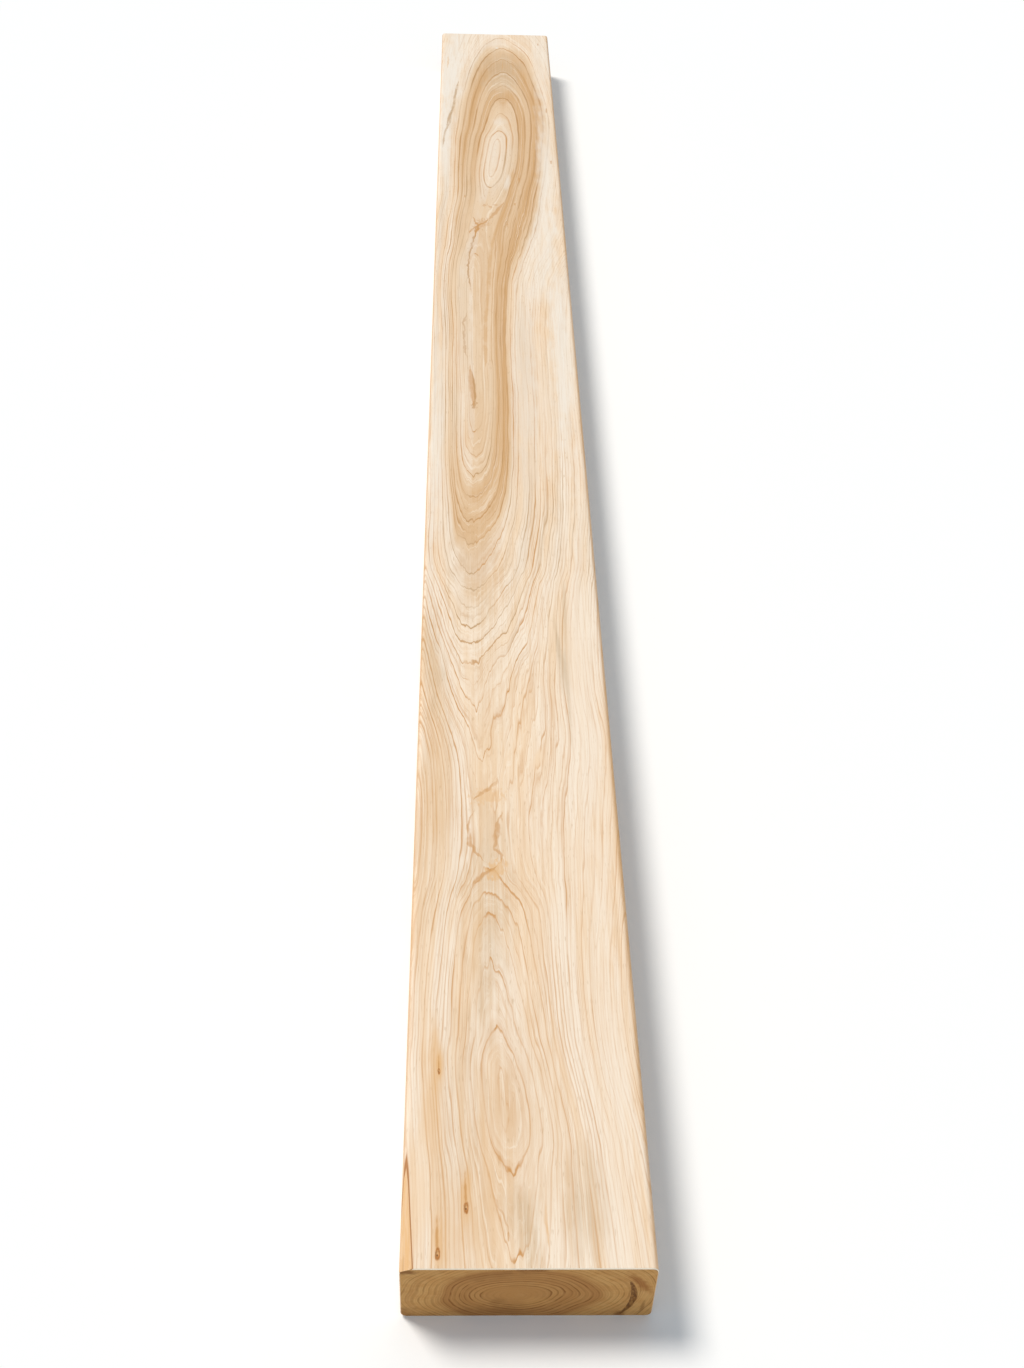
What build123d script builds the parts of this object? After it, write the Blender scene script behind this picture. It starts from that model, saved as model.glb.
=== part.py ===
"""A planed timber plank: one straight board of solid wood, cross-cut square at both ends.

Frame: X across the width, Y along the length, Z up. The origin is the middle of the underside.
The end at -Y is the one with a corner of wane.
"""
import os

from build123d import *

# Driving dimensions, in millimetres
length = 1500.0
width = 120.0
thickness = 45.0

# The planer's cutters round the four long edges
edge_radius = 3.0

# Light sanding breaks the edges that the saw leaves round both ends
end_arris = 0.8

# Wane: a flat left by the outside of the log on one corner of the upper face. It is widest
# at the end of the plank and runs out along the upper edge. The three sizes are taken along
# the edges of the square corner, before any rounding
wane_width = 5.5
wane_depth = 2.6
wane_length = 80.0


def plank_section():
    """The planed section, standing on the floor, with its long edges rounded."""
    return Plane.XZ * Pos(0, thickness / 2) * RectangleRounded(width, thickness, edge_radius)


def ease_ends(board):
    """Breaks the edges round the two sawn ends."""
    sawn_ends = board.faces().filter_by(Axis.Y)
    return chamfer(sawn_ends.edges(), end_arris)


def wane_plane():
    """The plane of the wane, through the three points where it meets the square corner's edges.

    Its normal points out of the wood.
    """
    corner = Vector(-width / 2, -length / 2, thickness)
    on_upper_face = corner + Vector(wane_width, 0, 0)
    on_side = corner - Vector(0, 0, wane_depth)
    runs_out = corner + Vector(0, wane_length, 0)
    outward = (on_side - on_upper_face).cross(runs_out - on_upper_face)
    if outward.dot(corner - on_upper_face) < 0:
        outward = -outward
    return Plane(origin=on_upper_face, x_dir=runs_out - on_upper_face, z_dir=outward)


def make_plank():
    """The whole plank: extruded section, eased ends, and the corner of wane cut away."""
    board = extrude(plank_section(), amount=length / 2, both=True)
    board = ease_ends(board)
    return split(board, bisect_by=wane_plane(), keep=Keep.BOTTOM)


os.makedirs("parts", exist_ok=True)
export_step(make_plank(), "parts/plank.step")
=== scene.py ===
"""A planed timber plank: its eased shape, the figure of its growth rings, and the stage it lies on.

The plank's frame is X across the width, Y along the length and Z up. The end at -Y has the corner
of wane. Sizes in the property groups are in metres. The figure is worked out in millimetres, with
distances along the plank counted from the wane end.
"""
import math
from functools import partialmethod

import bpy
from mathutils import Matrix, Vector


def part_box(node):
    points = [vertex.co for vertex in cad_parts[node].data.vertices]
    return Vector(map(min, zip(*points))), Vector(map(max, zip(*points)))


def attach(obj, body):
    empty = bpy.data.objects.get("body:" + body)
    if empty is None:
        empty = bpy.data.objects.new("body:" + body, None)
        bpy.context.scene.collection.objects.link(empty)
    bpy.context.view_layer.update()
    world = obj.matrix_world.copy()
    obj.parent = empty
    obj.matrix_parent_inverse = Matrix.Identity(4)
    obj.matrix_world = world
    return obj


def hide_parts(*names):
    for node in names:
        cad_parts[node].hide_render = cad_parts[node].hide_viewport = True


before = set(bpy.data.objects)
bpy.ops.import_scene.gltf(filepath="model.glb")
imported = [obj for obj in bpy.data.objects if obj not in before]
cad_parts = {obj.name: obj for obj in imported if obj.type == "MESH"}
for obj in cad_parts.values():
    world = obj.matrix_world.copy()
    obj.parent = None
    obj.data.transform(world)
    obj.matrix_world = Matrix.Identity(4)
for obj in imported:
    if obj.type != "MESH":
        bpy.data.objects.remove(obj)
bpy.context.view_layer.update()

bl_info = {
    "name": "Timber plank",
    "version": (1, 0, 0),
    "blender": (4, 5, 0),
    "location": "View3D > Sidebar > Timber plank",
    "description": "Builds a planed timber plank with its growth rings, and the stage it lies on",
    "category": "Object",
}

PLANK_LOW, PLANK_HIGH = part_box("plank")
PLANK_SIZE = PLANK_HIGH - PLANK_LOW
MM = 0.001
# The height of the upper face, in millimetres
TOP = PLANK_SIZE.z / MM

# The figure, read along the plank: pairs of a distance from the wane end and a value there, in mm.
# Where the pith of the log runs, measured across from the middle of the plank
PITH_ACROSS = (
    (0, -5), (52, -6.5), (131, -13.5), (180, -16), (230, -17), (330, -19), (420, -28), (520, -29),
    (600, -26), (760, -25), (900, -25), (1000, -21), (1100, -10), (1200, -2), (1300, 6), (1400, 8),
    (1500, 3),
)
# How many growth rings lie between the pith and the upper face
PITH_DEPTH = (
    (0, 12.2), (52, 11), (90, 9.95), (131, 11), (174, 12), (208, 13), (225, 14), (245, 15),
    (275, 15.35), (333, 15), (380, 14), (417, 13), (437, 12), (453, 11), (473, 10), (493, 9),
    (511, 8), (547, 7), (575, 6), (603, 5), (630, 4), (655, 3), (690, 1.9), (735, 1.0), (800, 0.9),
    (930, 1.1), (1030, 2.9), (1060, 2.8), (1100, 2.2), (1180, 0.4), (1245, 2.2), (1295, 3.3),
    (1328, 4.2), (1350, 4.9), (1390, 6), (1425, 7), (1457, 8), (1488, 9), (1500, 9.4),
)
# The same count well away to the right of the pith, where the rings run on undisturbed
PITH_DEPTH_ASIDE = ((0, 9), (200, 8), (420, 7), (540, 5), (680, 1.6), (1200, 1.6), (1400, 5), (1500, 7))
# The width of a growth ring, to the left and to the right of the pith
RING_WIDTH_LEFT = (
    (0, 2.8), (90, 2.65), (250, 2.5), (400, 2.6), (500, 2.7), (770, 2.9), (1000, 3.4), (1180, 4.5),
    (1300, 5.3), (1400, 5.4), (1500, 5),
)
RING_WIDTH_RIGHT = (
    (0, 2.9), (90, 2.7), (250, 3.2), (400, 3.8), (500, 3.9), (770, 4), (900, 4.3), (950, 4.75),
    (1000, 5.5), (1050, 5.9), (1100, 5.7), (1180, 5.8), (1350, 5.2), (1500, 5),
)
# How blunt the rings are where they turn: 2 is an ellipse, less is more pointed
RING_BLUNTNESS = (
    (0, 2), (60, 1.9), (130, 1.75), (400, 1.75), (500, 1.9), (560, 2.5), (620, 2.5), (690, 2.2),
    (800, 2), (1500, 2),
)
# The height of a growth ring: the log grew flatter than round. On a sawn end it is flatter still
RING_HEIGHT = 2.0
END_RING_HEIGHT = 1.75
# How far to the right of the pith the rings are disturbed by it: fully, and not at all
DISTURBED_TO, UNDISTURBED_FROM = 10, 85
# The step over which the pith's rise along the plank is taken, and the widest ring on a face
RISE_STEP = 4.0
WIDEST_RING = 40.0
# How far the lines zigzag where they turn across the plank
JAGGEDNESS = 1.3
# How much of the rings' unevenness is left at the far end, and where it settles
FAR_UNEVENNESS = 0.4
FAR_SETTLING = (1020, 1100)
# How far apart the noise of one seed lies from the next, along each axis
SEED_STEPS = (17.3, 5.7, 11.9)


def paint(*shown):
    """A colour in the renderer's linear values, from the three values a screen shows, 0 to 255."""
    shares = [value / 255 for value in shown]
    return [share / 12.92 if share <= 0.04045 else ((share + 0.055) / 1.055) ** 2.4 for share in shares]


def feed(socket, value):
    """Joins an input to a field, or sets it to a plain value."""
    if isinstance(value, Field):
        value.tree.links.new(value.socket, socket)
    elif value is not None:
        socket.default_value = value


def new_node(tree, kind, inputs=None, **settings):
    """A new node with its settings, fed by the names or numbers of its inputs."""
    node = tree.nodes.new(kind)
    for name, value in settings.items():
        setattr(node, name, value)
    for name, value in (inputs or {}).items():
        feed(node.inputs[name], value)
    return node


def run(tree, kind, inputs=None, out=0, **settings):
    """What a new node gives at one of its outputs, as a field."""
    return Field(tree, new_node(tree, kind, inputs, **settings).outputs[out])


def opaque(colour):
    """A plain colour with its fourth value. A field stays as it is."""
    return colour if isinstance(colour, Field) else (*colour, 1.0)


class Field:
    """What a node gives, in shader and geometry trees alike. Sums on it lay further nodes."""

    def __init__(self, tree, socket):
        self.tree = tree
        self.socket = socket

    def math(self, operation, second=None, third=None):
        """One sum on numbers."""
        return run(self.tree, "ShaderNodeMath", {0: self, 1: second, 2: third}, operation=operation)

    def math_after(self, operation, first):
        """The same, with this field as the second number."""
        return run(self.tree, "ShaderNodeMath", {0: first, 1: self}, operation=operation)

    # The signs that sums are written with
    __add__ = partialmethod(math, "ADD")
    __sub__ = partialmethod(math, "SUBTRACT")
    __rsub__ = partialmethod(math_after, "SUBTRACT")
    __mul__ = partialmethod(math, "MULTIPLY")
    __truediv__ = partialmethod(math, "DIVIDE")
    __rtruediv__ = partialmethod(math_after, "DIVIDE")
    __pow__ = partialmethod(math, "POWER")
    __neg__ = partialmethod(math, "MULTIPLY", -1.0)
    __abs__ = partialmethod(math, "ABSOLUTE")
    __lt__ = partialmethod(math, "LESS_THAN")
    __gt__ = partialmethod(math, "GREATER_THAN")
    # The larger and the smaller of two numbers, and a number times a factor, plus a shift
    most = partialmethod(math, "MAXIMUM")
    least = partialmethod(math, "MINIMUM")
    scaled = partialmethod(math, "MULTIPLY_ADD")

    def vector(self, operation, second=None, third=None, out="Vector"):
        """One sum on vectors."""
        inputs = {0: self, 1: second, 2: third}
        return run(self.tree, "ShaderNodeVectorMath", inputs, out, operation=operation)

    def stretched(self, factor):
        """The vector times a number."""
        return run(self.tree, "ShaderNodeVectorMath", {0: self, "Scale": factor}, operation="SCALE")

    def split(self):
        """The three parts of a vector."""
        node = new_node(self.tree, "ShaderNodeSeparateXYZ", {"Vector": self})
        return [Field(self.tree, output) for output in node.outputs]

    def ramp(self, start, end, low=0.0, high=1.0):
        """A smooth step from low at start to high at end. Start may be the larger."""
        inputs = {"Value": self, "From Min": start, "From Max": end, "To Min": low, "To Max": high}
        return run(self.tree, "ShaderNodeMapRange", inputs, interpolation_type="SMOOTHSTEP")

    def noise(self, size, seed, detail=2.0, roughness=0.5):
        """Noise from 0 to 1 at this place, whose lumps have about this size along each axis."""
        shift = [seed * step for step in SEED_STEPS]
        spread = self.vector("MULTIPLY_ADD", [1 / side for side in size], shift)
        inputs = {"Vector": spread, "Scale": 1.0, "Detail": detail, "Roughness": roughness}
        return run(self.tree, "ShaderNodeTexNoise", inputs)

    def sway(self, size, seed, amount, detail=2.0):
        """Noise about zero, mostly within this amount either way."""
        return (self.noise(size, seed, detail) - 0.5) * (amount * 4)

    def station(self, stations):
        """A value that changes smoothly through the stations given: pairs of a distance and a value."""
        first = stations[0][0]
        span = stations[-1][0] - first
        values = [value for _, value in stations]
        low = min(values)
        rise = max(values) - low
        node = new_node(self.tree, "ShaderNodeFloatCurve", {"Value": (self - first) / span})
        points = node.mapping.curves[0].points
        places = [((at - first) / span, (value - low) / rise) for at, value in stations]
        points[0].location = places[0]
        points[1].location = places[-1]
        for place in places[1:-1]:
            points.new(*place)
        for point in points:
            point.handle_type = "AUTO_CLAMPED"
        node.mapping.update()
        return Field(self.tree, node.outputs[0]).scaled(rise, low)

    def tint(self, base, colour):
        """Lays a colour over another, by this field as the factor."""
        inputs = {0: self, 6: opaque(base), 7: opaque(colour)}
        return run(self.tree, "ShaderNodeMix", inputs, 2, data_type="RGBA")

    def blend(self, first, second):
        """Goes from the first number to the second, by this field as the factor."""
        return run(self.tree, "ShaderNodeMix", {0: self, 2: first, 3: second}, data_type="FLOAT")


def pack(x, y, z=0.0):
    """A vector from its three parts, of which at least one is a field."""
    tree = next(part.tree for part in (x, y, z) if isinstance(part, Field))
    return run(tree, "ShaderNodeCombineXYZ", {"X": x, "Y": y, "Z": z})


def distance(first, second):
    """How far away a place is, from its distances in two directions."""
    return pack(first, second).vector("LENGTH", out="Value")


def fields_of(tree, node):
    """All that a node gives, by name."""
    return {output.name: Field(tree, output) for output in node.outputs}


def new_group(name, kind, inputs, outputs):
    """An empty node group with named sockets. Gives the group, its inputs and its output sockets."""
    group = bpy.data.node_groups.new(name, kind)
    for in_out, sockets in (("INPUT", inputs), ("OUTPUT", outputs)):
        for label, socket in sockets.items():
            group.interface.new_socket(name=label, in_out=in_out, socket_type=f"NodeSocket{socket}")
    given = fields_of(group, new_node(group, "NodeGroupInput"))
    return group, given, new_node(group, "NodeGroupOutput").inputs


def use_group(tree, group, inputs):
    """All that a node gives that holds a group."""
    kind = group.bl_idname.replace("Tree", "Group")
    return fields_of(tree, new_node(tree, kind, inputs, node_tree=group))


def growth_rings(kind):
    """The growth rings of the log, as a field through the wood.

    Rings is how many rings a place is out from the pith on the long faces, Spacing how many
    millimetres lie between two rings there, and Turn is 1 where they run straight across the plank.
    End Rings is the count on a sawn end. Grain is a place measured along the grain: rings out,
    millimetres along, rings sideways.
    """
    outputs = {**dict.fromkeys(("Rings", "Spacing", "Turn", "End Rings"), "Float"), "Grain": "Vector"}
    group, given, result = new_group("Growth rings", kind, {"Place": "Vector"}, outputs)
    place = given["Place"]
    x, along, z = place.split()
    across = x - along.station(PITH_ACROSS) + place.sway((60, 150, 60), 1, 1.5, 1.0)
    width = (across < 0.0).blend(along.station(RING_WIDTH_RIGHT), along.station(RING_WIDTH_LEFT))
    sideways = across / width
    depth = along.station(PITH_DEPTH)
    aside = along.station(PITH_DEPTH_ASIDE)
    disturbed = across.ramp(UNDISTURBED_FROM, DISTURBED_TO)
    level = (z - TOP) / RING_HEIGHT
    upward = level + disturbed.blend(aside, depth)
    end_upward = (level + depth) * (RING_HEIGHT / END_RING_HEIGHT)
    bluntness = along.station(RING_BLUNTNESS)
    across_share = abs(sideways) ** bluntness
    upward_share = abs(upward) ** bluntness
    rings = (across_share + upward_share) ** (1.0 / bluntness)
    # How fast the count changes across and along the face, and so how far apart the rings lie on it
    rise = (along + RISE_STEP).station(PITH_DEPTH) - depth
    rise = rise * disturbed * (1 / RISE_STEP)
    turn = rings.most(0.2) ** (1.0 - bluntness)
    to_side = across_share / sideways / width
    to_depth = upward_share / upward
    settling = UNDISTURBED_FROM - DISTURBED_TO
    left_of_it = ((UNDISTURBED_FROM - across) / settling).least(1.0).most(0.0)
    settles = left_of_it * (1.0 - left_of_it) * (6 / settling)
    per_side = to_side + to_depth * ((aside - depth) * settles)
    per_rise = to_depth * rise
    slope = distance(per_side, per_rise)
    crosswise = abs(per_rise / slope).ramp(0.3, 0.85)
    spacing = (1.0 / (slope * turn).most(0.001)).least(WIDEST_RING)
    end_uneven = place.sway((26, 60, 15), 19, 0.6, 0.0) + place.sway((7, 60, 5), 20, 0.09, 1.0)
    uneven = place.sway((10, 120, 10), 2, 0.2) + place.sway((3, 26, 3), 3, 0.09, 1.0)
    jagged = place.sway((2.6, 7, 2.6), 23, JAGGEDNESS) / spacing
    uneven = (uneven + jagged * crosswise) * along.ramp(*FAR_SETTLING, 1.0, FAR_UNEVENNESS)
    rings = rings + uneven
    end_rings = distance(sideways, end_upward) + end_uneven
    for name, field in zip(outputs, (rings, spacing, crosswise, end_rings, pack(rings, along, sideways))):
        feed(result[name], field)
    return group


# The wood's finish. Places are in millimetres: across from the middle, along from the wane end
# Pin knots: across, along, radius of the eye
PIN_KNOTS = ((-29.2, 31.0, 1.2), (-42.4, 7.5, 1.3), (-43.2, 107.0, 0.7))
# Stains under the lines: across, along, half width, half length, lean, name of the colour, strength
STAINS = (
    (28, 34, 15, 44, 0, "grey", 0.8),
    (-3, 22, 12, 38, -0.2, "grey", 0.95),
    (-10, 80, 34, 130, 0, "heart_dark", 0.38),
    (-21, 168, 10, 60, 0.05, "grey", 0.9),
    (-9, 88, 12, 44, -0.1, "heart_dark", 0.55),
    (26, 30, 15, 42, 0, "shadow_grain", 0.3),
    (1, 20, 9, 32, -0.1, "shadow_grain", 0.35),
    (-16, 230, 22, 110, 0, "grey", 0.8),
    (-14, 380, 20, 130, 0, "heart_pale", 0.45),
    (-40, 350, 24, 150, 0, "heart_dark", 0.15),
    (13, 75, 18, 110, 0, "heart_pale", 0.4),
    (-32, 70, 22, 130, 0, "grey", 0.55),
    (-48, 290, 18, 150, 0, "shadow_grain", 0.2),
    (-22, 225, 18, 90, 0, "shadow_grain", 0.14),
    (-22, 510, 22, 85, 0, "shadow_grain", 0.22),
    (-22, 545, 26, 110, 0, "heart_dark", 0.6),
    (-20, 690, 18, 120, 0, "heart_dark", 0.32),
    (14, 820, 13, 100, 0, "shadow_grain", 0.14),
    (-33, 860, 9, 190, 0, "heart_pale", 0.8),
    (-18, 950, 19, 170, 0, "heart_dark", 0.42),
    (-22, 1110, 15, 110, 0, "heart_dark", 0.2),
    (-35, 1050, 10, 110, 0.06, "heart_dark", 0.45),
    (6, 1395, 28, 75, 0, "grey", 0.6),
    (4, 1385, 34, 90, 0, "shadow_grain", 0.3),
    (5, 1170, 20, 150, 0.05, "sap_cool", 0.3),
)
# Blots over the lines, in the same order
BLOTS = (
    (14, 331, 3.5, 14, 0.2, "sap_warm", 1.0),
    (-18, 1056, 8, 34, 0, "heart_pale", 0.9),
    (-46, 88, 9, 55, 0, "resin", 0.5),
    (-45, 120, 5, 34, -0.05, "resin", 0.6),
    (-52, 40, 8, 45, 0, "sap_warm", 0.8),
    (-33, 15, 16, 44, 0, "resin", 0.4),
    (-19, 55, 4, 70, -0.1, "resin", 0.35),
    (-56, 30, 4, 70, 0, "resin", 0.35),
    (-24, 190, 5, 60, 0.05, "resin", 0.4),
    (-50, 300, 9, 70, 0, "resin", 0.25),
    (59, 320, 5, 150, 0, "resin", 0.55),
    (46, 90, 15, 150, 0, "sap_pale", 0.6),
    (45, 400, 18, 300, 0, "sap_pale", 0.6),
    (-53, 425, 13, 85, -0.12, "shadow_grain", 0.32),
    (-29, 418, 4, 30, -0.1, "sap_warm", 0.6),
    (34, 440, 7, 80, 0, "grey", 0.3),
    (33, 412, 4, 30, 0.02, "shadow_grain", 0.5),
    (30, 442, 2.6, 34, -0.05, "shadow_grain", 0.45),
    (36, 470, 2.2, 60, 0.03, "shadow_grain", 0.35),
    (35, 375, 1.6, 45, 0, "shadow_grain", 0.35),
    (16, 760, 12, 220, 0.02, "sap_cool", 0.8),
    (29, 780, 6, 170, 0.02, "sap_warm", 0.35),
    (47, 820, 12, 240, 0, "sap_white", 0.85),
    (32, 720, 14, 170, 0, "sap_white", 0.4),
    (38, 980, 16, 150, 0.08, "sap_white", 0.6),
    (46, 1150, 12, 200, 0, "sap_white", 0.7),
    (-54, 680, 8, 220, 0, "sap_white", 0.75),
    (-50, 1390, 20, 220, 0.04, "sap_white", 1.0),
    (-54, 1210, 10, 140, 0, "sap_white", 0.85),
    (49, 1400, 12, 150, 0, "sap_white", 0.5),
    (8, 1122, 4, 24, 0.12, "sap_white", 0.7),
    (-4, 1185, 10, 60, 0.08, "sap_white", 0.4),
    (2, 1262, 9, 14, 0, "sap_white", 0.5),
    (1.7, 1460, 2.2, 3.5, 0, "sap_white", 0.9),
)
# Ragged brown blots over the lines
RAGGED_BLOTS = (
    (-17, 1034, 8, 12, 0.2, "resin_dark", 0.4),
    (-13, 242, 7, 9, 0.3, "resin", 0.6),
    (-17, 300, 12, 8, 0.2, "resin", 0.4),
    (-59, 2, 5, 7, 0, "resin_dark", 0.35),
    (-24.4, 726, 2.4, 7, 0, "pith", 0.6),
    (-14.5, 1072, 3, 4, 0.4, "resin_dark", 0.4),
    (-9, 1069, 2.4, 3, -0.4, "resin_dark", 0.45),
    (-4, 1073, 4, 2.6, -0.6, "resin_dark", 0.35),
)
# Streaks: pairs of a distance along and a place across, then half width, colour, strength, raggedness
STREAKS = (
    (((716, -24.6), (740, -25.6), (765, -27), (792, -28.4)), 3.4, "resin_dark", 0.6, 0.4),
    (((716, -24), (742, -24), (764, -25.2), (782, -27)), 1.2, "pith", 0.7, 0.4),
    (((788, -29), (815, -32.5), (845, -33), (880, -29)), 1.4, "heart_line", 0.4, 1.6),
    (((900, -26), (947, -29.5), (987, -27), (1036, -19)), 1.3, "heart_line", 0.65, 1.2),
    (((775, -15.5), (850, -15), (900, -12.5), (967, -10), (1020, -4), (1067, 5), (1112, 12), (1160, 15)),
     2.4, "heart_dark", 0.6, 0.5),
    (((1000, -24), (1016, -23), (1030, -20), (1038, -14), (1050, -9)), 2.4, "resin_dark", 0.9, 1.6),
    (((1012, -30), (1024, -25), (1036, -17)), 2.0, "resin_dark", 0.7, 1.6),
    (((1026, -19), (1036, -22.5), (1050, -25.5)), 1.8, "resin_dark", 0.65, 1.6),
    (((1036, -15), (1046, -9), (1060, -3), (1085, 6)), 2.8, "resin_dark", 0.55, 1.2),
    (((243, -15), (252, -22), (266, -28), (282, -27), (293, -20)), 2.3, "resin_dark", 0.6, 2.2),
    (((243, -15), (250, -9), (262, -13), (276, -11), (293, -8)), 2.3, "resin_dark", 0.6, 2.2),
    (((228, -27), (236, -22), (243, -15), (247, -9)), 2.5, "resin_dark", 0.65, 1.8),
    (((294, -27), (302, -21), (309, -14), (318, -9)), 2.2, "resin_dark", 0.6, 2.0),
    (((1240, -53), (1270, -50), (1300, -45.5), (1327, -44), (1372, -40)), 1.9, "latewood_dull", 0.75, 0.4),
    (((1190, -56), (1230, -54), (1262, -49), (1300, -47)), 1.5, "latewood_dull", 0.65, 0.4),
    (((1395, -53), (1440, -52)), 1.2, "resin", 0.5, 0.8),
    (((1393, 7.0), (1427, 8.0)), 0.9, "heart_dark", 0.7, 0.3),
    (((12, -7), (30, -13), (46, -19)), 0.8, "resin_dark", 0.4, 0.8),
    (((8, 9), (36, 8.4)), 1.0, "resin", 0.6, 0.6),
)
# The longest end over which a streak narrows
LONGEST_TAPER = 30
# Small brown flecks: across, along, half width, half length
FLECKS = (
    (6.7, 1032, 1.0, 5), (14.5, 1075, 0.8, 4), (19.5, 1127, 1.0, 7), (52, 1168, 1.2, 5),
    (51.7, 1292, 1.2, 7), (48, 1472, 1.2, 4), (-33, 1090, 0.7, 4), (-9.5, 16, 0.5, 2.5),
)
# How strongly the heartwood shows on the left of the pith, along the plank
HEART_ON_LEFT = (
    (0, 1), (480, 1), (520, 0.4), (590, 0.6), (680, 0.35), (760, 0.3), (980, 0.32), (1090, 0.52),
    (1230, 0.9), (1500, 1),
)
# The same on the right
HEART_ON_RIGHT = ((0, 1), (480, 1), (520, 0.4), (590, 0.65), (700, 1), (1500, 1.001))
# How strongly the heartwood colours each ring, by its number from the pith
HEART_BY_RING = (
    (0, 0.3), (2, 0.32), (3.2, 0.28), (4, 0.42), (4.6, 0.62), (5.1, 0.88), (5.5, 0.72), (6, 0.92),
    (6.6, 1), (7, 0.8), (7.4, 0.4), (7.9, 0.12), (8.4, 0), (9, 0),
)
# The same at the far end
HEART_BY_RING_FAR = (
    (0, 0.25), (1.8, 0.2), (2.6, 0.28), (3.4, 0.4), (4, 0.62), (4.4, 0.84), (4.9, 0.76), (5.4, 0.58),
    (5.9, 0.62), (6.4, 0.84), (6.8, 0.96), (7.4, 0.7), (7.9, 0.6), (8.3, 0.42), (8.7, 0.2), (9, 0),
)
# How dark the lines of the sapwood are, along the plank
LINE_ALONG = (
    (0, 0.6), (120, 0.7), (240, 0.8), (300, 0.95), (540, 1), (660, 0.65), (850, 0.5), (1050, 0.35),
    (1500, 0.5),
)
# How dark the lines nearest the pith are, along the plank
CORE_LINE_ALONG = ((0, 1), (640, 1), (720, 0.35), (1060, 0.35), (1110, 1), (1500, 1))
# How far a line reaches to its inner and its outer side
LINE_WIDTHS = (0.85, 0.35)
SMALL_LINE_WIDTHS = (0.6, 0.25)
END_LINE_WIDTHS = (1.3, 0.5)
# How much wider a line is where the rings turn
TURN_WIDENING = 2.3
# The same near the wane end, as a share of the usual
NEAR_TURN_SHARE = 1.6
# The usual spacing of the rings on a sawn end
END_SPACING = 3.2
# Where in a ring its line is darkest
LINE_PEAK = 0.92
# How dark the line of each ring is, by its number from the pith
LINE_BY_RING = (
    (0, 0.3), (1, 0.7), (2, 1), (3, 0.6), (4, 1), (5, 0.6), (6, 0.9), (7, 0.7), (8, 1), (9, 0.7),
    (10, 0.4), (11, 1), (12, 1), (13, 0.9), (14, 0.8), (15, 1), (16, 0.6),
)
# Where the heartwood of the far end takes over, and where its lines grow broad and few
FAR_HEART = (880, 1070)
BROAD_LINES = (1020, 1180)
# Where parts of the figure begin and end, counted in rings from the pith
HEART_RINGS = (9.2, 8.9)
HEART_LINE_RINGS = (10, 8.5)
BROAD_LINE_RINGS = (9.4, 8.6)
CORE_RINGS = (4.6, 3.8)
CALM_RINGS = (8, 10)
LISTED_RINGS = (17, 15)
END_CORE_RINGS = (17, 12)
END_FINE_RINGS = (4, 7)
# The same, counted along the plank
COOL_SAPWOOD = (380, 600)
DULL_LINES = (380, 480)
NEAR_TURN = (300, 225)
# How strong an unlisted line is: the least, how much more by chance, and how rare strong ones are
LEAST_LINE = 0.28
LINE_SPREAD = 0.75
LINE_RARITY = 1.4
# The share of a streak's length over which it narrows, and the share of its width that is darkest
TAPER_SHARE = 0.4
STREAK_CORE = 0.3
# How far down from the upper face its stains and blots end, and where they begin to fade
STAIN_DEPTHS = (9, 4)
# What a blot is set by
BLOT_INPUTS = ("Waver", "Across", "Along", "Half Width", "Half Length", "Lean", "Softness")


def ring_lines(rings, spacing, widening, per_ring, widths, seed, near_pith=None):
    """Latewood lines of an even width, each with a strength of its own, sharper on their outer side."""
    count = rings * per_ring + LINE_PEAK
    number = count.math("FLOOR")
    drawn = {"W": number + seed}
    chance = run(rings.tree, "ShaderNodeTexWhiteNoise", drawn, "Value", noise_dimensions="1D")
    strength = (chance ** LINE_RARITY).scaled(LINE_SPREAD, LEAST_LINE)
    if near_pith:
        strength = rings.ramp(*LISTED_RINGS).blend(strength, number.station(near_pith))
    away = (count.math("FRACT") - LINE_PEAK) * spacing * (1 / per_ring) / widening
    inner, outer = widths
    return away.ramp(-inner, -0.1 * inner) * away.ramp(outer, 0.0) * strength


def blot_group():
    """A mask for a blot in the wood, longer along the grain, with a soft, uneven edge."""
    inputs = {"Place": "Vector", **dict.fromkeys(BLOT_INPUTS, "Float")}
    group, given, result = new_group("Blot", "ShaderNodeTree", inputs, {"Mask": "Float"})
    waver, across, along, half_width, half_length, lean, softness = [given[name] for name in BLOT_INPUTS]
    x, y, _ = given["Place"].split()
    ahead = y - along
    aside = x - across - lean * ahead
    reach = distance(aside / half_width, ahead / half_length) + waver
    feed(result["Mask"], reach.ramp(1.0, 1.0 - softness))
    return group


def lay_blots(place, wood, blots, colours, rows, waver, softness, shown=1.0):
    """Lays a row of blots over the wood, one after the other."""
    for *form, name, strength in rows:
        inputs = dict(zip(BLOT_INPUTS, (waver, *form, softness)))
        mask = use_group(place.tree, blots, {"Place": place, **inputs})["Mask"]
        wood = (mask * strength * shown).tint(wood, getattr(colours, name))
    return wood


def streak(place, path, half_width, ragged):
    """A thin streak that follows a path along the plank, and narrows to its ends."""
    x, along, _ = place.split()
    first = path[0][0]
    last = path[-1][0]
    taper = min(LONGEST_TAPER, (last - first) * TAPER_SHARE)
    side = x - along.station(path) + ragged
    full = along.ramp(first, first + taper) * along.ramp(last, last - taper)
    reach = full * half_width
    return abs(side).ramp(reach, reach * STREAK_CORE) * full.ramp(0.0, 0.3)


def on_upper(place):
    """1 on the upper face, and 0 on the underside."""
    return place.split()[2].ramp(*[TOP - depth for depth in STAIN_DEPTHS])


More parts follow.
